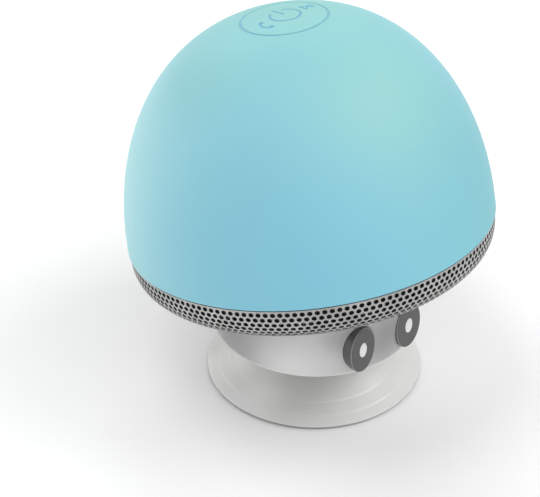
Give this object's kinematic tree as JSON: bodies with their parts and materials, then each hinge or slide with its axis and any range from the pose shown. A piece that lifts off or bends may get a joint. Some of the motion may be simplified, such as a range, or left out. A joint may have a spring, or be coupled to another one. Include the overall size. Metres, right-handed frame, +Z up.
{
  "type": "shower speaker",
  "caption": "Mushroom-shaped wireless shower speaker: silicone dome cap with a top button, perforated steel grille bowl, white stem with oval eyes, and a suction cup foot.",
  "frame": {"origin": "centre of the suction cup's contact plane, on the stem's vertical axis", "axes": "+Z up from the suction cup to the cap, -Y the way the two eyes face, +X to the right of someone who looks along +Y"},
  "size_m": [0.051, 0.051, 0.0546],
  "materials": {
    "cap_silicone": "matt aqua silicone, soft touch",
    "stem_plastic": "white satin moulded plastic",
    "inner_plastic": "black moulded plastic",
    "eye_plastic": "dark grey satin plastic",
    "dot_plastic": "white plastic inlay",
    "cup_silicone": "glossy translucent white silicone",
    "flap_silicone": "white silicone",
    "grille_steel": "perforated steel sheet, satin",
    "screw_steel": "plated steel",
    "driver_steel": "pressed steel, zinc plated",
    "magnet": "ferrite",
    "cone_paper": "coated paper",
    "surround_rubber": "black rubber",
    "coil_copper": "enamelled copper winding",
    "foam": "closed-cell foam",
    "circuit_board": "green solder mask",
    "battery_wrap": "foil pouch",
    "clear_lens": "clear light pipe"
  },
  "bodies": {
    "housing": {"cap_skin": "cap_silicone", "dome_shell": "inner_plastic", "tact_switch": "driver_steel", "baffle": "inner_plastic", "grille": "grille_steel", "support_frame": "inner_plastic", "driver_gasket": "foam", "driver_basket": "driver_steel", "cone_surround": "surround_rubber", "cone_spider": "cone_paper", "driver_top_plate": "driver_steel", "driver_magnet": "magnet", "driver_yoke": "driver_steel", "battery_pad": "foam", "battery": "battery_wrap", "main_board": "circuit_board", "wireless_module": "driver_steel", "amplifier_chip": "inner_plastic", "stem_housing": "stem_plastic", "left_eye": "eye_plastic", "right_eye": "eye_plastic", "left_eye_dot": "dot_plastic", "right_eye_dot": "dot_plastic", "base_cover": "stem_plastic", "charge_board": "circuit_board", "usb_socket": "driver_steel", "status_light_pipe": "clear_lens", "microphone": "driver_steel", "clamp_screw_1": "screw_steel", "clamp_screw_2": "screw_steel", "clamp_screw_3": "screw_steel", "clamp_screw_4": "screw_steel", "board_screw_1": "screw_steel", "board_screw_2": "screw_steel", "hub_screw_1": "screw_steel", "hub_screw_2": "screw_steel", "hub_screw_3": "screw_steel", "base_screw_1": "screw_steel", "base_screw_2": "screw_steel", "base_screw_3": "screw_steel", "base_screw_4": "screw_steel", "charge_board_screw_1": "screw_steel", "charge_board_screw_2": "screw_steel"},
    "button": {"control_button": "cap_silicone", "button_plunger": "inner_plastic", "switch_actuator": "inner_plastic"},
    "cone": {"driver_cone": "cone_paper", "dust_cap": "cone_paper", "voice_coil": "coil_copper"},
    "flap": {"charging_flap": "flap_silicone"},
    "cup": {"suction_cup": "cup_silicone"}
  },
  "joints": [
    {"name": "button_press", "type": "slide", "parent": "housing", "child": "button", "axis": [0, -0.1925, -0.9813], "range_m": [0, 0.0006], "stiffness_N_per_m": 400, "springref_m": -0.001},
    {"name": "cone_travel", "type": "slide", "parent": "housing", "child": "cone", "axis": [0, -0.1925, -0.9813], "range_m": [-0.0008, 0.0008], "stiffness_N_per_m": 500, "deforming": ["cone_surround", "cone_spider"]},
    {"name": "flap_hinge", "type": "hinge", "parent": "housing", "child": "flap", "pos_m": [-0.00545, 0.01344, 0.0112], "axis": [0, 0, 1], "range_deg": [0, 110]},
    {"name": "cup_swivel", "type": "hinge", "parent": "housing", "child": "cup", "pos_m": [0, 0, 0], "axis": [0, 0, 1], "continuous": true}
  ]
}
